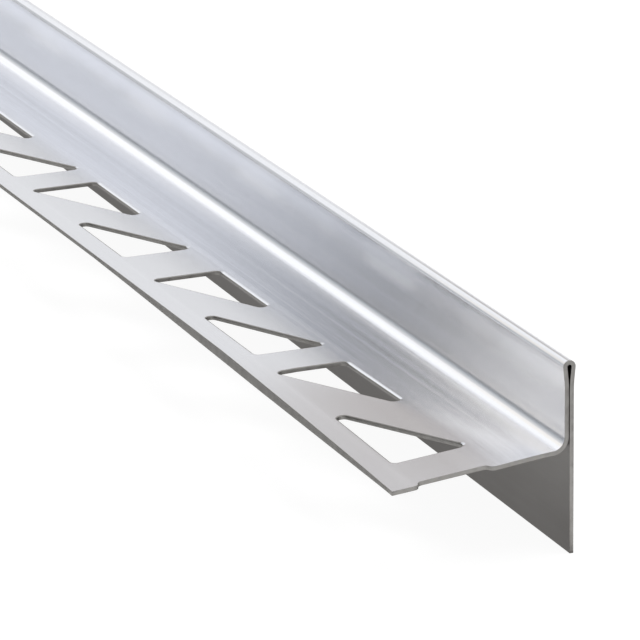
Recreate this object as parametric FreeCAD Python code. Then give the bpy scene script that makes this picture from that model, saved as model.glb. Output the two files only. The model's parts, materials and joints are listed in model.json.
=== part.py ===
import FreeCAD
import Part
import math
import os

os.makedirs("parts", exist_ok=True)

# A stainless steel profile for the edge of a sloping shower floor, folded from one sheet.
# A back sheet is folded over at the top into a hem. The front layer of the hem goes down
# to the level of the tile bed and bends out into a flat leg with triangular holes, which
# is bedded in the tile adhesive. Below the leg the back sheet goes on as a flange that
# gets shallower along the length, which makes the profile a wedge.
# X runs along the length with the deep end at +X, the leg points to -Y, and Z is up.

# Sheet and length of the stock
sheet_thickness = 0.6
profile_length = 1000.0

# Section, square to the length
tile_height = 12.5
leg_reach = 25.55
deep_end_drop = 14.2
hem_gap = 0.12
hem_bulge = 0.25
hem_taper_height = 2.4
bend_inner_radius = 1.8

# Holes of the leg: pairs of right triangles with rounded corners
rail_width = 3.5
hole_row_width = 10.4
hole_corner_radius = 0.85
triangle_length = 19.0
cell_length = 38.9
narrow_strut = 7.8
wide_strut = 12.1
cells_in_group = 3
first_strut_to_end = 1.1

# Places that follow from the sizes above, in the section's own frame:
# y = 0 is the back face of the flange and z = 0 the top of the leg
hem_thickness = 2 * sheet_thickness + hem_gap
front_face_y = -hem_thickness
front_inner_y = -(sheet_thickness + hem_gap)
leg_edge_y = front_face_y - leg_reach
hole_row_outer_y = leg_edge_y + rail_width
hole_row_inner_y = hole_row_outer_y + hole_row_width
hem_centre_y = front_face_y / 2
loop_outer_radius = hem_thickness / 2 + hem_bulge
loop_inner_radius = loop_outer_radius - sheet_thickness
loop_centre_z = tile_height - loop_outer_radius
hem_straight_top_z = loop_centre_z - hem_taper_height
bend_outer_radius = bend_inner_radius + sheet_thickness
bend_centre_y = front_face_y - bend_inner_radius
bend_centre_z = bend_inner_radius
flange_bottom_z = -(sheet_thickness + deep_end_drop)
group_pitch = cells_in_group * cell_length + (cells_in_group - 1) * narrow_strut + wide_strut
wedge_angle = math.degrees(math.atan2(deep_end_drop, profile_length))
clearance = 5.0


def point(y, z):
    return FreeCAD.Vector(0, y, z)


def line(start, end):
    return Part.LineSegment(point(*start), point(*end)).toShape()


def arc(centre, radius, start_angle, end_angle):
    """Arc in the section's plane, through its middle; angles in degrees from +Y to +Z."""
    on_arc = []
    for angle in (start_angle, (start_angle + end_angle) / 2, end_angle):
        turn = math.radians(angle)
        on_arc.append(point(centre[0] + radius * math.cos(turn), centre[1] + radius * math.sin(turn)))
    return Part.Arc(*on_arc).toShape()


def arc_end(centre, radius, angle):
    turn = math.radians(angle)
    return (centre[0] + radius * math.cos(turn), centre[1] + radius * math.sin(turn))


def tangent_angle(radius, straight_y):
    """Where on the hem's loop, in degrees from +Y, the side of the teardrop runs off to the back sheet."""
    side = abs(straight_y - hem_centre_y)
    reach = math.hypot(side, hem_taper_height)
    return math.degrees(math.acos(radius / reach) - math.atan2(hem_taper_height, side))


def section_face():
    """The folded sheet's section, with the flange as deep as it is at the deep end."""
    loop_centre = (hem_centre_y, loop_centre_z)
    bend_centre = (bend_centre_y, bend_centre_z)
    outer_start = tangent_angle(loop_outer_radius, 0)
    outer_end = 180 - outer_start
    inner_start = tangent_angle(loop_inner_radius, -sheet_thickness)
    inner_end = 180 - inner_start
    edges = [
        line((0, flange_bottom_z), (0, hem_straight_top_z)),
        line((0, hem_straight_top_z), arc_end(loop_centre, loop_outer_radius, outer_start)),
        arc(loop_centre, loop_outer_radius, outer_start, outer_end),
        line(arc_end(loop_centre, loop_outer_radius, outer_end), (front_face_y, hem_straight_top_z)),
        line((front_face_y, hem_straight_top_z), (front_face_y, bend_centre_z)),
        arc(bend_centre, bend_inner_radius, 0, -90),
        line((bend_centre_y, 0), (leg_edge_y, 0)),
        line((leg_edge_y, 0), (leg_edge_y, -sheet_thickness)),
        line((leg_edge_y, -sheet_thickness), (bend_centre_y, -sheet_thickness)),
        arc(bend_centre, bend_outer_radius, -90, 0),
        line((front_inner_y, bend_centre_z), (front_inner_y, hem_straight_top_z)),
        line((front_inner_y, hem_straight_top_z), arc_end(loop_centre, loop_inner_radius, inner_end)),
        arc(loop_centre, loop_inner_radius, inner_end, inner_start),
        line(arc_end(loop_centre, loop_inner_radius, inner_start), (-sheet_thickness, hem_straight_top_z)),
        line((-sheet_thickness, hem_straight_top_z), (-sheet_thickness, flange_bottom_z)),
        line((-sheet_thickness, flange_bottom_z), (0, flange_bottom_z)),
    ]
    return Part.Face(Part.Wire(edges))


def taper_cutter():
    """What is trimmed from the flange so that it runs out at the underside of the leg."""
    slope = deep_end_drop / profile_length
    deep_x = profile_length + clearance
    shallow_x = -clearance
    low_z = flange_bottom_z - clearance
    back_y = clearance
    corners = [
        (shallow_x, -sheet_thickness - slope * shallow_x),
        (deep_x, -sheet_thickness - slope * deep_x),
        (deep_x, low_z),
        (shallow_x, low_z),
    ]
    points = [FreeCAD.Vector(x, back_y, z) for x, z in corners]
    points.append(points[0])
    outline = Part.Face(Part.makePolygon(points))
    return outline.extrude(FreeCAD.Vector(0, front_inner_y + hem_gap / 2 - back_y, 0))


def triangle_cutter(straight_x, base_y, along, across):
    """One hole, cut down through the leg: a right triangle rounded at its corners.

    straight_x is the side that runs square across the leg and base_y the side along it.
    along and across, each 1 or -1, point from the right angle into the hole.
    """
    radius = hole_corner_radius
    corner_x = straight_x + along * radius
    corner_y = base_y + across * radius
    base_end_x = straight_x + along * (triangle_length - radius)
    tip_y = base_y + across * (hole_row_width - radius)
    centres = [(corner_x, corner_y), (base_end_x, corner_y), (corner_x, tip_y)]
    points = [FreeCAD.Vector(x, y, clearance) for x, y in centres]
    points.append(points[0])
    outline = Part.makePolygon(points).makeOffset2D(radius)
    return Part.Face(outline).extrude(FreeCAD.Vector(0, 0, -2 * clearance))


def hole_cutters():
    """Two facing triangles to a cell; cells stand in groups, with a wider strut between groups."""
    cutters = []
    first_cell_start = first_strut_to_end - cell_length
    for group in range(math.ceil((profile_length - first_cell_start) / group_pitch)):
        for cell in range(cells_in_group):
            start = first_cell_start + group * group_pitch + cell * (cell_length + narrow_strut)
            end = start + cell_length
            near_side_x = profile_length - start
            far_side_x = profile_length - end
            if start > 0 and start < profile_length:
                cutters.append(triangle_cutter(near_side_x, hole_row_outer_y, -1, 1))
            if end - triangle_length < profile_length:
                cutters.append(triangle_cutter(far_side_x, hole_row_inner_y, 1, -1))
    return cutters


def folded_profile():
    bar = section_face().extrude(FreeCAD.Vector(profile_length, 0, 0))
    wedge = bar.cut(taper_cutter())
    return wedge.cut(hole_cutters()).Solids[0]


def laid_down(shape):
    """Turn the profile so that the flange's sloping edge lies on the floor, and centre it."""
    shape.rotate(FreeCAD.Vector(0, 0, 0), FreeCAD.Vector(0, 1, 0), -wedge_angle)
    box = shape.optimalBoundingBox()
    shape.translate(FreeCAD.Vector(-box.Center.x, -box.Center.y, -box.ZMin))
    return shape


profile = laid_down(folded_profile())
profile.exportStep("parts/wedge_profile.step")
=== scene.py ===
import bisect
import json
import math
from collections import namedtuple

import bpy
from mathutils import Euler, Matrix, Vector, geometry

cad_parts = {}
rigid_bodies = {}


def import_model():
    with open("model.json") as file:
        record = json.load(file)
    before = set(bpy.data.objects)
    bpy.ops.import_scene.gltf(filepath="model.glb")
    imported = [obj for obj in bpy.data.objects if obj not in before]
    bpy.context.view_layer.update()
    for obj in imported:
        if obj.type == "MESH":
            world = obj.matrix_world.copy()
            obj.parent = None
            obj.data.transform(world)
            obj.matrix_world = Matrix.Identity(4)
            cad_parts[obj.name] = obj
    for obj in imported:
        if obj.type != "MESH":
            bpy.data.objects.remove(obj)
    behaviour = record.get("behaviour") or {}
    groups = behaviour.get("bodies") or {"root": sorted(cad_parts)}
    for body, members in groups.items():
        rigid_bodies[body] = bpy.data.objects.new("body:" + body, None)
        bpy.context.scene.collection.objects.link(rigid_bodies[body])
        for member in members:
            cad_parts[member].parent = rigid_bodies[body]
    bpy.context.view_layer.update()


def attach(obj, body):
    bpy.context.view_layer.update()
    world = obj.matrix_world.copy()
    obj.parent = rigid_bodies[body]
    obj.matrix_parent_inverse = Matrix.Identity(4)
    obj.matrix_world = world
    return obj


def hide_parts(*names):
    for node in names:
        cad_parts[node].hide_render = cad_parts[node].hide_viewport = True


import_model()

# The sizes of the part's source, in millimetres, in the section's own frame:
# x runs along the length, y = 0 is the back face of the flange and z = 0 the top of the leg
SHEET = 0.6
LENGTH = 1000.0
TILE_HEIGHT = 12.5
LEG_REACH = 25.55
DEEP_END_DROP = 14.2
HEM_GAP = 0.12
HEM_BULGE = 0.25
HEM_TAPER_HEIGHT = 2.4
BEND_INNER_RADIUS = 1.8
RAIL_WIDTH = 3.5
HOLE_ROW_WIDTH = 10.4
HOLE_CORNER_RADIUS = 0.85
TRIANGLE_LENGTH = 19.0
CELL_LENGTH = 38.9
NARROW_STRUT = 7.8
WIDE_STRUT = 12.1
CELLS_IN_GROUP = 3
FIRST_STRUT_TO_END = 1.1

HALF_SHEET = SHEET / 2
HEM_THICKNESS = 2 * SHEET + HEM_GAP
LEG_EDGE_Y = -HEM_THICKNESS - LEG_REACH
HOLE_OUTER_S = RAIL_WIDTH
HOLE_INNER_S = RAIL_WIDTH + HOLE_ROW_WIDTH
# The fold stays a hair inside the solid, whose mesh has flats there
FOLD_CLEARANCE = 0.001
LOOP_RADIUS = HEM_THICKNESS / 2 + HEM_BULGE - HALF_SHEET - FOLD_CLEARANCE
LOOP_CENTRE_Z = TILE_HEIGHT - HEM_THICKNESS / 2 - HEM_BULGE - FOLD_CLEARANCE
HEM_STRAIGHT_TOP_Z = LOOP_CENTRE_Z - HEM_TAPER_HEIGHT
BEND_RADIUS = BEND_INNER_RADIUS + HALF_SHEET
BEND_CENTRE_Y = -HEM_THICKNESS - BEND_INNER_RADIUS
TAPER = DEEP_END_DROP / LENGTH
GROUP_PITCH = CELLS_IN_GROUP * CELL_LENGTH + (CELLS_IN_GROUP - 1) * NARROW_STRUT + WIDE_STRUT

# Where the section's frame at the near end lies in the row's frame, in millimetres
SHIFT_Y = -(LEG_EDGE_Y + HEM_BULGE) / 2
NEAR_END_X = LENGTH / 2
LEG_TOP_Z = SHEET + DEEP_END_DROP

# A short flat before the bend, and the gentle curves at the foot of the hem's bulge
FLAT_BEFORE_BEND = 0.15
HEM_CURVE_RADIUS = 18.0

# Rounding of the sheet's edges, in millimetres: how far it reaches in from the edge, and how deep
ROUNDING = {"punched": (0.55, 0.34), "sheared": (0.05, 0.05)}
LOWER_ROUNDING = (0.05, 0.05)
# A ring of vertices so much further in keeps the shading of the flat sheet flat
SUPPORT = 0.03

# Only the sides of the holes next to the bend are rounded so much, and the others by this share.
# The cosine of a side's angle to the bend says how far it counts as one of them.
PLAIN_SHARE = 0.35
ROUNDED_FROM = 0.88
ROUNDED_OVER = 0.1
# Down to this depth the full rounding has the finish of the sheet's visible side
FINISHED_DEPTH = 0.15

# The two corners of a hole that the saw cuts open are worn off by so much
WORN_CORNERS = (0.7, 0.9)

# The near corner of the leg is bent down a little by handling
DROOP = 2.25
DROOP_LENGTH = 65.0
DROOP_SHARPNESS = 1.35
DROOP_START_Y = -3.5

# The first holes lie a little nearer the end and the bend than the even pattern has them
NUDGE_Y = ((-26.87, 0.3), (-23.4, 0.75), (-13.0, 0.95), (-6.0, 0.0))
NUDGE_Y_LENGTH = 45.0
NUDGE_X = 0.45
NUDGE_X_BACK = (0.0, 8.9, 48.0, 78.0)

# The rim of the leg is pressed down there, so that its lower edge runs straight to the corner
RIM_DROP = 2.2
RIM_LENGTH = 107.0
RIM_WIDTH = 0.5

# How finely the sheet is divided: numbers of pieces, and places as shares of a length
COLUMNS = 80
BEND_PIECES = 26
LOOP_PIECES = 40
HEM_CURVE_PIECES = 4
FRONT_STOPS = (0.02, 0.5, 0.98, 1.0)
HEM_SIDE_STOPS = (0.1, 0.9, 1.0)
FLANGE_STOPS = (0.006, 0.33, 0.66, 0.985, 1.0)
UPPER_ROUNDING_PIECES = 5
LOWER_ROUNDING_PIECES = 3
WORN_CORNER_PIECES = 5
HOLE_CORNER_LEAST_PIECES = 6
HOLE_CORNER_STEP = math.radians(13)

# The leg, whose length next to the bent corner is divided more finely; lengths in millimetres
HOLE_SIDE_STEP = 2.4
DENSE_LENGTH = 60.0
PLAIN_EDGE_PIECES = 75
DENSE_EDGE_PIECES = 24
END_PIECES = 20
END_CLEARANCE = 0.5
# Vertices inside the leg: the step along it, and the number of pieces across it
PLAIN_SPOTS = (9.0, 4)
DENSE_SPOTS = (2.6, 9)
FIRST_SPOT_X = 6.0
SPOT_END_CLEARANCE = 2.0
SPOT_CLEARANCE = 0.7

# Numbers of the mesh's materials
SURFACE, REVERSE, CUT = 0, 1, 2

# The UV map is the sheet laid out flat, in metres, with the reverse so many millimetres aside
SHEET_UV = "unfolded"
REVERSE_ASIDE = 90.0

# The usual range of a noise texture's values
NOISE_RANGE = (0.3, 0.7)

# Soft bands as (millimetres in from the leg's outer edge, value): the satin finish's strokes, then
# painted light
SECTION_WAY = 100
STROKE_BANDS = ((13.0, 0.15), (16.0, 1.0), (20.5, 1.0), (23.0, 0.15))
# painted reflection: a cooler tint painted where the inner leg mirrors the web
PAINTED_REFLECTION_BANDS = ((12.0, 0.0), (16.0, 1.0), (21.5, 1.0), (24.0, 0.0))
# painted highlight and shade: lighter where the bend meets the leg and on the hem's slant, darker
# on the inner leg, at the foot of the web and on the fold
PAINTED_SHEEN_BANDS = (
    (15.0, 0.4), (17.5, 0.2), (21.0, 0.2), (22.8, 0.7), (24.5, 0.6),
    (26.0, 0.4), (26.8, 0.05), (27.9, 0.05), (28.6, 0.4), (33.5, 0.55),
    (35.9, 0.6), (36.7, 0.2), (37.4, 0.2), (38.0, 0.45), (39.0, 0.4),
)
# the level at which the painted highlight and shade bands neither lighten nor darken
UNPAINTED_LEVEL = 0.4
# The same along the length, in millimetres from the far end
STROKE_ENDS = ((0, 0.3), (15, 0.4), (40, 1.0), (962, 1.0), (986, 0.4), (1000, 0.3))

# The floor's size in metres, its own grey, how bright it is where it is seen or mirrored, and
# how bright the world is for all other light
FLOOR_HALF_WIDTH = 30.0
FLOOR_GREY = 0.16
FLOOR_SEEN = 0.93
WORLD_FILL = 0.35

# How far off the profile the near and the far cards stand, in millimetres, how far they are set
# back for each millimetre of that, and how high the cards on the floor lie
CARD_DISTANCE = 150.0
FAR_CARD_DISTANCE = 1500.0
CARD_SETBACK = 1.843
FLOOR_CARD_HEIGHT = 0.05

CAMERA_PLACE = (1.171524, -0.306263, 0.280871)
CAMERA_TURN = (71.55675, 0.23459, 67.08473)
CAMERA_LENS = 331.88


def spread(start, end, pieces):
    return [start + (end - start) * n / pieces for n in range(pieces + 1)]


def eased(share):
    return share * share * (3 - 2 * share)


# The section's middle line from the leg's bend to the flange, drawn as a path of runs and arcs

class SectionPath:
    """Points of the middle line as (s, y, z, heading); s is the way along it from the leg's
    outer edge."""

    def __init__(self, s, y, z, heading):
        self.points = [(s, y, z, heading)]

    def run(self, length, stops=(1.0,)):
        """Straight on, with a point at each of the given shares of the length."""
        s, y, z, heading = self.points[-1]
        for stop in stops:
            way = length * stop
            self.points.append((
                s + way,
                y + way * math.cos(heading),
                z + way * math.sin(heading),
                heading,
            ))

    def turn(self, radius, angle, pieces):
        """Arc to the left for a positive angle, to the right for a negative one."""
        s, y, z, heading = self.points[-1]
        side = math.copysign(1, angle)
        centre_y = y - side * radius * math.sin(heading)
        centre_z = z + side * radius * math.cos(heading)
        for n in range(1, pieces + 1):
            now = heading + angle * n / pieces
            self.points.append((
                s + radius * abs(angle) * n / pieces,
                centre_y + side * radius * math.sin(now),
                centre_z - side * radius * math.cos(now),
                now,
            ))


def section_path():
    side = HEM_THICKNESS / 2 - HALF_SHEET
    reach = math.hypot(side, HEM_TAPER_HEIGHT)
    lean = -(math.acos(LOOP_RADIUS / reach) - math.atan2(HEM_TAPER_HEIGHT, side))
    slant = math.sqrt(reach * reach - LOOP_RADIUS * LOOP_RADIUS)
    curve = HEM_CURVE_RADIUS * math.tan(lean / 2)
    start_s = BEND_CENTRE_Y - LEG_EDGE_Y - FLAT_BEFORE_BEND
    path = SectionPath(start_s, BEND_CENTRE_Y - FLAT_BEFORE_BEND, -HALF_SHEET, 0)
    path.run(FLAT_BEFORE_BEND)
    path.turn(BEND_RADIUS, math.pi / 2, BEND_PIECES)
    path.run(HEM_STRAIGHT_TOP_Z - curve - BEND_INNER_RADIUS, FRONT_STOPS)
    path.turn(HEM_CURVE_RADIUS, lean, HEM_CURVE_PIECES)
    path.run(slant - curve, HEM_SIDE_STOPS)
    path.turn(LOOP_RADIUS, -(math.pi + 2 * lean), LOOP_PIECES)
    path.run(slant - curve, HEM_SIDE_STOPS)
    path.turn(HEM_CURVE_RADIUS, lean, HEM_CURVE_PIECES)
    return path.points


PATH = section_path()
PATH_S = [p[0] for p in PATH]
LEG_END_S = PATH_S[0]
FLANGE_START_S = PATH_S[-1]


def flange_end_s(x):
    return FLANGE_START_S + PATH[-1][2] + SHEET + TAPER * x


def droop(x, y):
    """The corner is bent about a line that runs slantwise from the end of the bend to the
    outer edge."""
    share = (DROOP_START_Y - y) / (DROOP_START_Y - LEG_EDGE_Y)
    if share <= 0:
        return 0.0
    past = max(0.0, 1 + (x - LENGTH) / (DROOP_LENGTH * share))
    return DROOP * share * past ** DROOP_SHARPNESS


def nudge(x, y):
    """How far a point of the leg lies off the even pattern, along the length and across it."""
    back = LENGTH - x
    most = NUDGE_Y[-1][1]
    for (y_a, most_a), (y_b, most_b) in zip(NUDGE_Y, NUDGE_Y[1:]):
        if y_a <= y < y_b:
            most = most_a + (y - y_a) / (y_b - y_a) * (most_b - most_a)
    rise_start, rise_end, fall_start, fall_end = NUDGE_X_BACK
    rise = min(1, (back - rise_start) / (rise_end - rise_start))
    fall = min(1, max(0, (fall_end - back) / (fall_end - fall_start)))
    inward = min(1, max(0, (NUDGE_Y[-1][0] - y) / (NUDGE_Y[-1][0] - NUDGE_Y[-2][0])))
    return NUDGE_X * rise * fall * inward, most * max(0, 1 - back / NUDGE_Y_LENGTH)


def rim_drop(x, s):
    """How much lower the underside lies at the leg's outer edge."""
    straight = max(0.0, RIM_DROP * (x - LENGTH + RIM_LENGTH) / RIM_LENGTH)
    return max(0.0, straight - droop(x, LEG_EDGE_Y)) * eased(max(0.0, 1 - s / RIM_WIDTH))


def place(x, s, n):
    """Point of the folded sheet, in its section's frame: s along the middle line, n off it to
    the visible side."""
    if s <= LEG_END_S:
        y = LEG_EDGE_Y + s
        low = rim_drop(x, s) * (HALF_SHEET - n) / SHEET
        along, across = nudge(x, y)
        return x + along, y + across, n - HALF_SHEET - droop(x, y) - low
    if s >= FLANGE_START_S:
        return x, PATH[-1][1] + n, PATH[-1][2] - (s - FLANGE_START_S)
    at = min(bisect.bisect_right(PATH_S, s), len(PATH) - 1)
    before, after = PATH[at - 1], PATH[at]
    share = (s - before[0]) / (after[0] - before[0])
    y, z, heading = (before[k] + share * (after[k] - before[k]) for k in (1, 2, 3))
    return x, y - n * math.sin(heading), z + n * math.cos(heading)


# The sheet laid out flat: columns along x, rows along s, and the punched leg beside them

def hole_outline(straight_x, base_s, along, across):
    """Right triangle rounded at its corners, as a closed list of (x, s) that has the sheet on
    its left."""
    radius = HOLE_CORNER_RADIUS
    corner_x = straight_x + along * radius
    corner_s = base_s + across * radius
    centres = [
        Vector((corner_x, corner_s)),
        Vector((straight_x + along * (TRIANGLE_LENGTH - radius), corner_s)),
        Vector((corner_x, base_s + across * (HOLE_ROW_WIDTH - radius))),
    ]
    if along * across > 0:
        centres.reverse()
    outline = []
    for n in range(3):
        last, here, following = centres[n - 1], centres[n], centres[(n + 1) % 3]
        entry = (here - last).normalized()
        leave = (following - here).normalized()
        start = math.atan2(entry.x, -entry.y)
        swing = (math.atan2(leave.x, -leave.y) - start) % (2 * math.pi) - 2 * math.pi
        pieces = max(HOLE_CORNER_LEAST_PIECES, round(abs(swing) / HOLE_CORNER_STEP))
        for k in range(pieces + 1):
            angle = start + swing * k / pieces
            outline.append(here + radius * Vector((math.cos(angle), math.sin(angle))))
        length = (following - here).length
        steps = max(1, round(length / HOLE_SIDE_STEP))
        side_start = outline[-1]
        for k in range(1, steps):
            outline.append(side_start + leave * length * k / steps)
    return [tuple(p) for p in outline]


def hole_outlines():
    outlines = []
    first_cell_start = FIRST_STRUT_TO_END - CELL_LENGTH
    for group in range(math.ceil((LENGTH - first_cell_start) / GROUP_PITCH)):
        for cell in range(CELLS_IN_GROUP):
            start = first_cell_start + group * GROUP_PITCH + cell * (CELL_LENGTH + NARROW_STRUT)
            end = start + CELL_LENGTH
            if 0 < start < LENGTH:
                outlines.append(hole_outline(LENGTH - start, HOLE_OUTER_S, -1, 1))
            if end - TRIANGLE_LENGTH < LENGTH:
                outlines.append(hole_outline(LENGTH - end, HOLE_INNER_S, 1, -1))
    return outlines


def run_inside(outline):
    """The part of a hole's outline between the bar's two ends, and the end that it runs out of."""
    inside = [0 < x < LENGTH for x, s in outline]
    if all(inside):
        return outline, None
    count = len(outline)
    first = next(n for n in range(count) if inside[n] and not inside[n - 1])
    run = []
    n = first
    while inside[n % count]:
        run.append(outline[n % count])
        n += 1
    before, after = outline[first - 1], outline[n % count]
    end_x = LENGTH if max(before[0], after[0]) >= LENGTH else 0.0
    crossings = []
    for out, near in ((before, run[0]), (after, run[-1])):
        share = (end_x - near[0]) / (out[0] - near[0])
        crossings.append((end_x, near[1] + share * (out[1] - near[1])))
    return [crossings[0]] + run + [crossings[1]], end_x


def blunted(run):
    """The run of a hole that is cut open at the bar's end, with its two sharp corners worn off."""
    for reach in WORN_CORNERS:
        corner = Vector(run[0])
        side = 1 if corner.y > sum(p[1] for p in run) / len(run) else -1
        kept = [p for p in run if (Vector(p) - corner).length > reach]
        start = corner + Vector((0, side * reach))
        after = Vector(kept[0])
        bow = []
        for share in spread(0, 1, WORN_CORNER_PIECES)[:-1]:
            bow.append(tuple(start.lerp(corner, share).lerp(corner.lerp(after, share), share)))
        run = list(reversed(bow + kept))
    return run


def moved_in(points, distance):
    """A closed loop moved to its left."""
    moved = []
    count = len(points)
    for n in range(count):
        here = Vector(points[n])
        entry = (here - Vector(points[n - 1])).normalized()
        leave = (Vector(points[(n + 1) % count]) - here).normalized()
        side = Vector((-entry.y - leave.y, entry.x + leave.x))
        side /= 1 + entry.dot(leave)
        moved.append(here + distance * side)
    return moved


def ring_sides(ring):
    return zip(ring[-1:] + ring[:-1], ring)


def gap_to_rings(p, rings):
    """How far a point lies from the nearest ring, of those beside it or a little off along x."""
    near = 3
    gap = math.inf
    for ring in rings:
        if min(q.x for q in ring) - near < p.x < max(q.x for q in ring) + near:
            for start, end in ring_sides(ring):
                way = end - start
                share = min(1, max(0, (p - start).dot(way) / way.length_squared))
                gap = min(gap, (p - start - way * share).length)
    return gap


def in_ring(p, ring):
    inside = False
    for start, end in ring_sides(ring):
        if (start.y > p.y) != (end.y > p.y):
            if p.x < start.x + (end.x - start.x) * (p.y - start.y) / (end.y - start.y):
                inside = not inside
    return inside


def on_leg(p, rings):
    """Whether a point lies within the leg's rim, which is the first ring, and in no hole."""
    if not in_ring(p, rings[0]):
        return False
    longest_hole = 25
    near = [r for r in rings[1:] if r[0].x - longest_hole < p.x < r[0].x + longest_hole]
    return not any(in_ring(p, ring) for ring in near)


class FlatSheet:
    """Vertices (x, s) of the unfolded sheet, its faces, and its edge loops with the sheet on
    their left."""

    def __init__(self):
        self.vertices = []
        self.faces = []
        self.loops = []

    def add(self, x, s):
        self.vertices.append((x, s))
        return len(self.vertices) - 1

    def add_end_of_leg(self, x, run, upward):
        """Vertices along one end of the leg, between its corners, round the hole cut open there."""
        low, high = sorted((run[0][1], run[-1][1]))
        stops = spread(0, LEG_END_S, END_PIECES)[1:-1]
        below = [(x, s) for s in stops if s < low - END_CLEARANCE]
        above = [(x, s) for s in stops if s > high + END_CLEARANCE]
        line = below + run + above if upward else above[::-1] + run + below[::-1]
        return [self.add(*p) for p in line]

    def fill_leg(self, rings):
        """Triangles between the rings of vertices round the leg and its holes, with the vertices
        where the edges' rounding ends."""
        corners = {v: Vector(self.vertices[v]) for ring in rings for v in ring}
        for kind, loop in self.loops:
            reach = ROUNDING[kind][0] + SUPPORT
            for v, p in zip(loop, moved_in([self.vertices[v] for v in loop], reach)):
                if v in corners:
                    corners[v] = p
        ring_points = [[corners[v] for v in ring] for ring in rings]
        ids = list(corners)
        points = list(corners.values())
        x = FIRST_SPOT_X
        while x < LENGTH - SPOT_END_CLEARANCE:
            dense = x > LENGTH - DENSE_LENGTH - SPOT_END_CLEARANCE
            step, pieces = DENSE_SPOTS if dense else PLAIN_SPOTS
            for s in spread(0, LEG_END_S, pieces)[1:-1]:
                p = Vector((x, s))
                if on_leg(p, ring_points) and gap_to_rings(p, ring_points) > SPOT_CLEARANCE:
                    ids.append(self.add(x, s))
                    points.append(p)
            x += step
        index = {v: n for n, v in enumerate(ids)}
        edges = [(index[a], index[b]) for ring in rings for a, b in ring_sides(ring)]
        convex_hull, tolerance = 0, 1e-6
        made = geometry.delaunay_2d_cdt(points, edges, [], convex_hull, tolerance)
        for triangle in made[2]:
            corner_ids = [made[3][n][0] for n in triangle]
            a, b, c = (points[n] for n in corner_ids)
            if on_leg((a + b + c) / 3, ring_points):
                if (b - a).cross(c - a) < 0:
                    corner_ids.reverse()
                self.faces.append(tuple(ids[n] for n in corner_ids))


def laid_out():
    sheet = FlatSheet()
    grid = []
    for x in spread(0, LENGTH, COLUMNS):
        depth = flange_end_s(x) - FLANGE_START_S
        rows = PATH_S + [FLANGE_START_S + share * depth for share in FLANGE_STOPS]
        grid.append([sheet.add(x, s) for s in rows])
    for here, following in zip(grid, grid[1:]):
        for j in range(len(here) - 1):
            sheet.faces.append((here[j], following[j], following[j + 1], here[j + 1]))

    holes = []
    cut_open = {}
    for outline in hole_outlines():
        run, end_x = run_inside(outline)
        if end_x is None:
            holes.append([sheet.add(*p) for p in run])
        else:
            cut_open[end_x] = blunted(run)

    plain = spread(0, LENGTH - DENSE_LENGTH, PLAIN_EDGE_PIECES)
    dense = spread(LENGTH - DENSE_LENGTH, LENGTH, DENSE_EDGE_PIECES)
    outer_edge = [sheet.add(x, 0) for x in plain[:-1] + dense]
    near_end = sheet.add_end_of_leg(LENGTH, cut_open[LENGTH], True)
    far_end = sheet.add_end_of_leg(0.0, cut_open[0.0], False)
    before_bend = [column[0] for column in grid]
    flange_edge = [column[-1] for column in grid]
    outer = outer_edge + near_end + grid[-1][:-1] + flange_edge[::-1]
    outer += grid[0][:-1][::-1] + far_end
    sheet.loops = [("sheared", outer)] + [("punched", hole) for hole in holes]
    sheet.fill_leg([outer_edge + near_end + before_bend[::-1] + far_end] + holes)
    return sheet


# The folded sheet as a solid, with its edges rounded

def edge_profile(kind):
    """The sheet's rounded edge, from the visible side to the other, as (inset, n)."""
    reach, depth = ROUNDING[kind]
    profile = [(reach + SUPPORT, HALF_SHEET)]
    for turn in spread(0, math.pi / 2, UPPER_ROUNDING_PIECES):
        profile.append((reach * (1 - math.sin(turn)), HALF_SHEET - depth * (1 - math.cos(turn))))
    reach, depth = LOWER_ROUNDING
    for turn in spread(0, math.pi / 2, LOWER_ROUNDING_PIECES):
        profile.append((reach * (1 - math.cos(turn)), depth * (1 - math.sin(turn)) - HALF_SHEET))
    profile.append((reach + SUPPORT, -HALF_SHEET))
    return profile


def rounding_shares(kind, inward):
    """For each point of a loop, the share of the full rounding that its edge has; inward is the
    way from there into the sheet."""
    if kind == "sheared":
        return [1.0] * len(inward)
    shares = []
    for way in inward:
        facing = min(1, max(0, (way.normalized().y - ROUNDED_FROM) / ROUNDED_OVER))
        shares.append(PLAIN_SHARE + (1 - PLAIN_SHARE) * eased(facing))
    return shares


# Vertices in a ring round a loop: their numbers, their places on the flat sheet, those places
# with the rounding laid out flat as well, and how far they lie off the middle line
Ring = namedtuple("Ring", "ids places uvs height")


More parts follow.
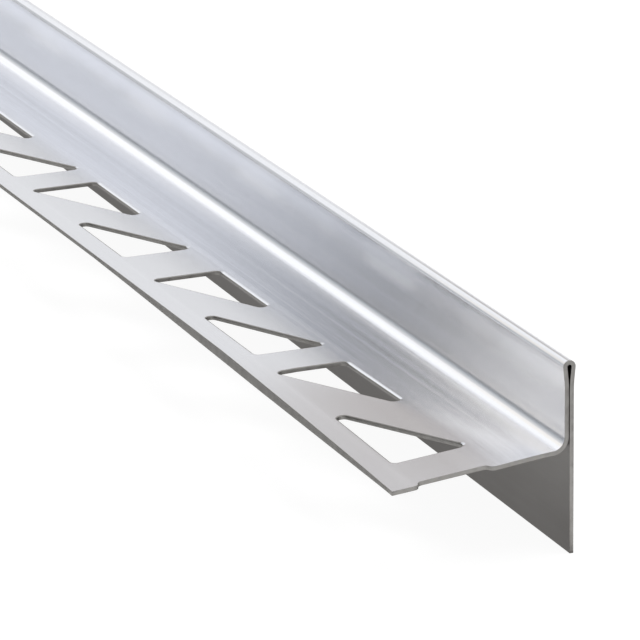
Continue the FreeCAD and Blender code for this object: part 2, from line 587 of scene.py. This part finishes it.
class FoldedSheet:
    """Vertices of the folded sheet in the section's frame, its faces, their corners' places on
    the flat sheet, and their finishes."""

    def __init__(self):
        self.vertices = []
        self.faces = []
        self.corner_uvs = []
        self.finishes = []

    def vertex(self, x, s, n):
        self.vertices.append(place(x, s, n))
        return len(self.vertices) - 1

    def face(self, ids, uvs, finish):
        self.faces.append(ids)
        self.corner_uvs.extend(uvs)
        self.finishes.append(finish)

    def edge_rings(self, points, inward, shares, profile):
        """Vertices round a loop, a ring for each point of the edge's profile."""
        rings = []
        depth = 0.0
        for n, (inset, height) in enumerate(profile):
            if n:
                depth += math.hypot(inset - profile[n - 1][0], height - profile[n - 1][1])
            ids = []
            places = []
            for here, way, share in zip(points, inward, shares):
                if height <= LOWER_ROUNDING[1] - HALF_SHEET:
                    share = 1.0
                p = Vector(here) + way * inset * share
                places.append(tuple(p))
                ids.append(self.vertex(p.x, p.y, HALF_SHEET - (HALF_SHEET - height) * share))
            uv_inset = profile[0][0] - depth
            uvs = [tuple(Vector(here) + way * uv_inset) for here, way in zip(points, inward)]
            rings.append(Ring(ids, places, uvs, height))
        return rings

    def edge_faces(self, kind, rings, shares):
        """Faces between the rings round a loop."""
        count = len(shares)
        for upper, lower in zip(rings, rings[1:]):
            for k in range(count):
                after = (k + 1) % count
                plain = kind == "sheared" or shares[k] + shares[after] < 1.0
                cut = plain or lower.height < HALF_SHEET - FINISHED_DEPTH
                ids = [upper.ids[after], upper.ids[k], lower.ids[k], lower.ids[after]]
                uvs = [upper.uvs[after], upper.uvs[k], lower.uvs[k], lower.uvs[after]]
                self.face(ids, uvs, CUT if cut else SURFACE)


def folded_sheet():
    flat = laid_out()
    folded = FoldedSheet()
    front, back = {}, {}
    edges = []
    for kind, loop in flat.loops:
        points = [flat.vertices[v] for v in loop]
        inward = [inside - Vector(here) for here, inside in zip(points, moved_in(points, 1.0))]
        shares = rounding_shares(kind, inward)
        rings = folded.edge_rings(points, inward, shares, edge_profile(kind))
        edges.append((kind, rings, shares))
        for side, ring in ((front, rings[0]), (back, rings[-1])):
            side.update(zip(loop, zip(ring.ids, ring.places)))
    for v, (x, s) in enumerate(flat.vertices):
        if v not in front:
            front[v] = (folded.vertex(x, s, HALF_SHEET), (x, s))
            back[v] = (folded.vertex(x, s, -HALF_SHEET), (x, s))

    for corners in flat.faces:
        folded.face([front[v][0] for v in corners], [front[v][1] for v in corners], SURFACE)
        turned = corners[::-1]
        uvs = [(back[v][1][0], back[v][1][1] + REVERSE_ASIDE) for v in turned]
        folded.face([back[v][0] for v in turned], uvs, REVERSE)
    for kind, rings, shares in edges:
        folded.edge_faces(kind, rings, shares)
    return folded


def laid_down(vertices):
    """From the section's frame in millimetres to the row's frame in metres, as the solid lies on
    the floor."""
    slope = math.atan2(DEEP_END_DROP, LENGTH)
    sine, cosine = math.sin(slope), math.cos(slope)
    shift_x = ((TILE_HEIGHT - SHEET - DEEP_END_DROP) * sine - LENGTH * cosine) / 2
    shift_z = SHEET * cosine
    return [(
        (x * cosine - z * sine + shift_x) / 1000,
        (y + SHIFT_Y) / 1000,
        (x * sine + z * cosine + shift_z) / 1000,
    ) for x, y, z in vertices]


# Materials

class NodeTree:
    """The nodes of a material or of the world, with short ways to build values in them."""

    def __init__(self, tree):
        self.nodes = tree.nodes
        self.links = tree.links

    def combined(self, how, first, second):
        """The result of a Math node on two outputs or numbers."""
        node = self.nodes.new("ShaderNodeMath")
        node.operation = how
        for socket, value in zip(node.inputs, (first, second)):
            if isinstance(value, (int, float)):
                socket.default_value = value
            else:
                self.links.new(value, socket)
        return node.outputs[0]

    def flat_place(self):
        """Where a point lies on the sheet laid out flat."""
        uv = self.nodes.new("ShaderNodeUVMap")
        uv.uv_map = SHEET_UV
        return uv.outputs["UV"]

    def streaks(self, scale, detail):
        """Noise on the flat sheet; scale is repeats per metre along the length and across it."""
        mapping = self.nodes.new("ShaderNodeMapping")
        mapping.inputs["Scale"].default_value = (*scale, 1)
        noise = self.nodes.new("ShaderNodeTexNoise")
        noise.noise_dimensions = "2D"
        noise.inputs["Scale"].default_value = 1.0
        noise.inputs["Detail"].default_value = detail
        self.links.new(self.flat_place(), mapping.inputs["Vector"])
        self.links.new(mapping.outputs["Vector"], noise.inputs["Vector"])
        return noise.outputs["Fac"]

    def spread_of(self, value, low, high):
        """A noise value taken from its usual range to low..high."""
        node = self.nodes.new("ShaderNodeMapRange")
        sockets = ("From Min", "From Max", "To Min", "To Max")
        for socket, bound in zip(sockets, (*NOISE_RANGE, low, high)):
            node.inputs[socket].default_value = bound
        self.links.new(value, node.inputs["Value"])
        return node.outputs["Result"]

    def along(self, axis, reach, stops):
        """A value that changes along the flat sheet, X for its length and Y in from the leg's
        outer edge; stops are (millimetres, value), over a way of reach."""
        axes = self.nodes.new("ShaderNodeSeparateXYZ")
        self.links.new(self.flat_place(), axes.inputs["Vector"])
        ramp = self.nodes.new("ShaderNodeValToRGB")
        elements = ramp.color_ramp.elements
        while len(elements) < len(stops):
            elements.new(0.5)
        for element, (way, value) in zip(elements, stops):
            element.position = way / reach
            element.color = (value, value, value, 1)
        share = self.combined("MULTIPLY", axes.outputs[axis], 1000 / reach)
        self.links.new(share, ramp.inputs["Fac"])
        return ramp.outputs["Color"]

    def along_section(self, stops):
        return self.along("Y", SECTION_WAY, stops)

    def between(self, value, dark, light):
        """A colour between two others, by a value from 0 to 1."""
        ramp = self.nodes.new("ShaderNodeValToRGB")
        ramp.color_ramp.elements[0].color = (*dark, 1)
        ramp.color_ramp.elements[1].color = (*light, 1)
        self.links.new(value, ramp.inputs["Fac"])
        return ramp.outputs["Color"]

    def tinted(self, colour, tint, share):
        """A colour multiplied by a tint, as far as share says."""
        node = self.nodes.new("ShaderNodeMix")
        node.data_type = "RGBA"
        node.blend_type = "MULTIPLY"
        # the sockets for colours are told from those for numbers by their place alone
        factor_socket, colour_socket, tint_socket = (node.inputs[n] for n in (0, 6, 7))
        tint_socket.default_value = (*tint, 1)
        self.links.new(share, factor_socket)
        self.links.new(colour, colour_socket)
        return node.outputs[2]

    def brush(self, shader, amount):
        """Highlights drawn out across the length, as fine strokes along it do."""
        shader.inputs["Anisotropic"].default_value = amount
        shader.inputs["Anisotropic Rotation"].default_value = 0.25
        tangent = self.nodes.new("ShaderNodeTangent")
        tangent.direction_type = "UV_MAP"
        tangent.uv_map = SHEET_UV
        self.links.new(tangent.outputs["Tangent"], shader.inputs["Tangent"])

    def seen_directly(self):
        """1 for camera, glossy and transmission rays, which show the background, 0 for the rest."""
        path = self.nodes.new("ShaderNodeLightPath")
        camera, glossy, transmission = (
            path.outputs[kind] for kind in ("Is Camera Ray", "Is Glossy Ray", "Is Transmission Ray")
        )
        return self.combined("MAXIMUM", self.combined("MAXIMUM", camera, glossy), transmission)


def new_material(name):
    material = bpy.data.materials.new(name)
    material.use_nodes = True
    tree = NodeTree(material.node_tree)
    return material, tree, tree.nodes["Principled BSDF"]


def new_metal(name):
    material, tree, shader = new_material(name)
    shader.inputs["Metallic"].default_value = 1.0
    return material, tree, shader


def satin_steel():
    """The visible side: fine strokes along the length, broader bands of painted highlight and shade
    along the folds, and a painted reflection tint on the inner leg.
    """
    material, tree, shader = new_metal("satin_stainless")
    strokes = tree.streaks((1.4, 2000), 2)
    hairs = tree.streaks((7, 3300), 0)
    broad = tree.streaks((0.7, 340), 1)
    patches = tree.streaks((14, 130), 1)

    marks = tree.combined(
        "ADD", tree.spread_of(strokes, -0.2, 0.2), tree.spread_of(hairs, -0.1, 0.1))
    marks = tree.combined("MULTIPLY", marks, tree.spread_of(patches, 0.35, 1.35))
    marks = tree.combined("MULTIPLY", marks, tree.along_section(STROKE_BANDS))
    # the ends are worn plainer by handling
    marks = tree.combined("MULTIPLY", marks, tree.along("X", LENGTH, STROKE_ENDS))
    tone = tree.combined("ADD", marks, tree.spread_of(broad, 0.44, 0.56))
    # painted highlight and shade: the bend's lighter middle is a painted highlight, and the darker
    # marks beside it and at the fold are painted shade
    painted_sheen = tree.combined("SUBTRACT", tree.along_section(PAINTED_SHEEN_BANDS), UNPAINTED_LEVEL)
    tone = tree.combined("ADD", tone, painted_sheen)
    steel = tree.between(tone, (0.58, 0.589, 0.62), (0.85, 0.862, 0.90))
    # painted reflection: the inner half of the leg is tinted slightly bluer, for the cool web that
    # it mirrors
    steel = tree.tinted(steel, (0.95, 0.965, 1.0), tree.along_section(PAINTED_REFLECTION_BANDS))
    tree.links.new(steel, shader.inputs["Base Color"])

    rough = tree.combined("MULTIPLY", marks, 0.12)
    rough = tree.combined("ADD", rough, tree.spread_of(broad, 0.195, 0.215))
    tree.links.new(rough, shader.inputs["Roughness"])
    tree.brush(shader, 0.33)
    return material


def reverse_steel():
    """The other side: a duller finish with a fine mottled grain, and darker partly as painted shade
    for the flange's face in the shadow under the leg.
    """
    material, tree, shader = new_metal("reverse_stainless")
    fine = tree.streaks((14, 1900), 4)
    cloud = tree.streaks((30, 90), 3)
    tone = tree.combined("ADD", tree.spread_of(fine, 0.1, 0.4), tree.spread_of(cloud, 0.0, 0.5))
    # partly a duller finish, partly painted shade: darker greys so that the flange face under the
    # leg looks shaded
    steel = tree.between(tone, (0.27, 0.262, 0.252), (0.36, 0.352, 0.345))
    tree.links.new(steel, shader.inputs["Base Color"])
    tree.links.new(tree.spread_of(fine, 0.36, 0.42), shader.inputs["Roughness"])
    tree.brush(shader, 0.3)
    return material


def cut_steel():
    """The sheared and punched edges."""
    material, tree, shader = new_metal("cut_stainless")
    grain = tree.streaks((900, 900), 3)
    steel = tree.between(tree.spread_of(grain, 0, 1), (0.31, 0.30, 0.287), (0.41, 0.40, 0.385))
    tree.links.new(steel, shader.inputs["Base Color"])
    tree.links.new(tree.spread_of(grain, 0.42, 0.58), shader.inputs["Roughness"])
    return material


def new_object(name, data):
    holder = bpy.data.objects.new(name, data)
    bpy.context.scene.collection.objects.link(holder)
    return holder


def make_profile():
    folded = folded_sheet()
    mesh = bpy.data.meshes.new("folded_profile")
    mesh.from_pydata(laid_down(folded.vertices), [], folded.faces)
    for material in (satin_steel(), reverse_steel(), cut_steel()):
        mesh.materials.append(material)
    mesh.polygons.foreach_set("material_index", folded.finishes)
    mesh.polygons.foreach_set("use_smooth", [True] * len(folded.faces))
    layer = mesh.uv_layers.new(name=SHEET_UV)
    layer.data.foreach_set("uv", [value / 1000 for uv in folded.corner_uvs for value in uv])
    mesh.update()
    profile = new_object("folded_profile", mesh)
    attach(profile, "root")
    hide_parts("wedge_profile")


# Floor, light and camera

def rectangle(first, second):
    """The corners of a rectangle in order, from its bounds in two directions."""
    return [(first[n], second[m]) for n, m in ((0, 0), (1, 0), (1, 1), (0, 1))]


def flat_mesh(name, corners):
    mesh = bpy.data.meshes.new(name)
    mesh.from_pydata(corners, [], [(0, 1, 2, 3)])
    return mesh


def make_floor():
    bounds = (-FLOOR_HALF_WIDTH, FLOOR_HALF_WIDTH)
    mesh = flat_mesh("floor", [(x, y, 0) for x, y in rectangle(bounds, bounds)])
    floor = new_object("floor", mesh)
    material, tree, shader = new_material("pale_floor")
    shader.inputs["Base Color"].default_value = (FLOOR_GREY, FLOOR_GREY, FLOOR_GREY, 1)
    shader.inputs["Roughness"].default_value = 1.0
    shader.inputs["Specular IOR Level"].default_value = 0.0
    shader.inputs["Emission Color"].default_value = (1, 1, 1, 1)
    seen = tree.combined("MULTIPLY", tree.seen_directly(), FLOOR_SEEN)
    tree.links.new(seen, shader.inputs["Emission Strength"])
    mesh.materials.append(material)


def make_world():
    """White where it is seen or mirrored, and a weaker fill for the rest."""
    world = bpy.data.worlds.new("studio")
    world.use_nodes = True
    bpy.context.scene.world = world
    tree = NodeTree(world.node_tree)
    background = tree.nodes["Background"]
    background.inputs["Color"].default_value = (1, 1, 1, 1)
    seen = tree.seen_directly()
    fill = tree.combined("MULTIPLY", tree.combined("SUBTRACT", 1.0, seen), WORLD_FILL)
    tree.links.new(tree.combined("ADD", seen, fill), background.inputs["Strength"])


def make_overhead():
    """A large soft lamp above the profile, which isn't mirrored itself."""
    light = bpy.data.lights.new("overhead", "AREA")
    light.shape = "RECTANGLE"
    light.size, light.size_y = 2.4, 1.2
    light.energy = 24
    lamp = new_object("overhead", light)
    location, target = Vector((0.0, 0.45, 1.6)), Vector((0.1, 0, 0))
    lamp.location = location
    lamp.rotation_euler = (target - location).to_track_quat("-Z", "Y").to_euler()
    lamp.visible_glossy = False


def card(name, corners, strength, tint=(1, 1, 1), twice=None):
    """A flat reflector of the studio that only mirrored light meets; twice is its strength for
    light that the profile has mirrored two times."""
    mesh = flat_mesh(name, corners)
    holder = new_object(name, mesh)
    material, tree, shader = new_material(name)
    shader.inputs["Base Color"].default_value = (0, 0, 0, 1)
    shader.inputs["Specular IOR Level"].default_value = 0.0
    shader.inputs["Emission Color"].default_value = (*tint, 1)
    shader.inputs["Emission Strength"].default_value = strength
    if twice is not None:
        path = tree.nodes.new("ShaderNodeLightPath")
        again = tree.combined("GREATER_THAN", path.outputs["Ray Depth"], 1.5)
        more = tree.combined("MULTIPLY", again, twice - strength)
        tree.links.new(tree.combined("ADD", more, strength), shader.inputs["Emission Strength"])
    mesh.materials.append(material)
    holder.visible_camera = False
    holder.visible_diffuse = False
    holder.visible_transmission = False
    holder.visible_shadow = False


def off_near_end(x, y, z):
    """Metres in the row's frame, from millimetres in the section's frame off the near end."""
    return ((NEAR_END_X + x) / 1000, (y + SHIFT_Y) / 1000, (z + LEG_TOP_Z) / 1000)


def side_card(name, ends, angles, strength, tint=(1, 1, 1), twice=None, distance=CARD_DISTANCE):
    """A card along the profile, mirrored between two places on it, in millimetres off the near
    end; angles in degrees from +Y to +Z."""
    corners = []
    for x, angle in rectangle(ends, angles):
        turn = math.radians(angle)
        corners.append(off_near_end(
            x - CARD_SETBACK * distance,
            distance * math.cos(turn),
            distance * math.sin(turn),
        ))
    card(name, corners, strength, tint, twice)


def floor_card(name, ends, sides, strength, tint=(1, 1, 1)):
    """A card on the floor; ends and sides in millimetres off the near end."""
    z = FLOOR_CARD_HEIGHT - LEG_TOP_Z
    card(name, [off_near_end(x, y, z) for x, y in rectangle(ends, sides)], strength, tint)


def front_flag():
    """A dark screen on the camera's side, so that edges that face it look dark."""
    y = -0.4
    corners = [(x, y, z) for x, z in rectangle((-0.1, 2.2), (0, 1.6))]
    card("front_flag", corners, 0.25)


def back_flag():
    """A grey screen lying behind the profile, so that its bare back stands out from the pale
    floor."""
    z = 0.0005
    corners = [(x, y, z) for x, y in rectangle((-0.65, 0.65), (0.03, 0.11))]
    card("back_flag", corners, 0.4)


def make_lights():
    make_overhead()
    front_flag()
    back_flag()
    left = (122, 151)
    cool = (0.98, 0.99, 1)
    side_card("right_near", (-40, 60), (41, 66), 0.59, (1, 0.92, 0.87))
    side_card("top", (-1100, 700), (72, 122), 1.33, distance=FAR_CARD_DISTANCE)
    side_card("left_near", (-8, 60), left, 1.33, (1, 0.95, 0.86), 1.85)
    side_card("left_dark", (-51, -8), left, 1.33, cool, 0.03)
    side_card("left_mid", (-112, -51), left, 1.33, cool, 0.82)
    side_card("left_far", (-400, -112), left, 1.36)
    side_card("low_strip", (-400, 60), (151, 170), 0.9, (1, 1, 1), 0.4)
    side_card("horizon", (-400, 60), (170, 186), 0.68, (0.92, 0.97, 1))
    # painted shadow: a dim card on the floor under the leg, where its shadow falls, that only
    # mirrored light meets, so that the flange mirrors shade
    floor_card("under_flange_painted_shadow", (-400, 10), (-22, 1), 0.38, (1, 0.98, 0.97))
    floor_card("beside_edge", (-440, -10), (-56, -38), 0.03)


def make_camera():
    camera = bpy.data.cameras.new("camera")
    camera.lens = CAMERA_LENS
    camera.sensor_width = 36.0
    camera.clip_start = 0.05
    camera.clip_end = 100.0
    holder = new_object("camera", camera)
    holder.location = CAMERA_PLACE
    holder.rotation_euler = Euler([math.radians(a) for a in CAMERA_TURN])
    bpy.context.scene.camera = holder


make_profile()
make_floor()
make_world()
make_lights()
make_camera()
bpy.context.scene.view_settings.view_transform = "Standard"

bpy.context.view_layer.update()
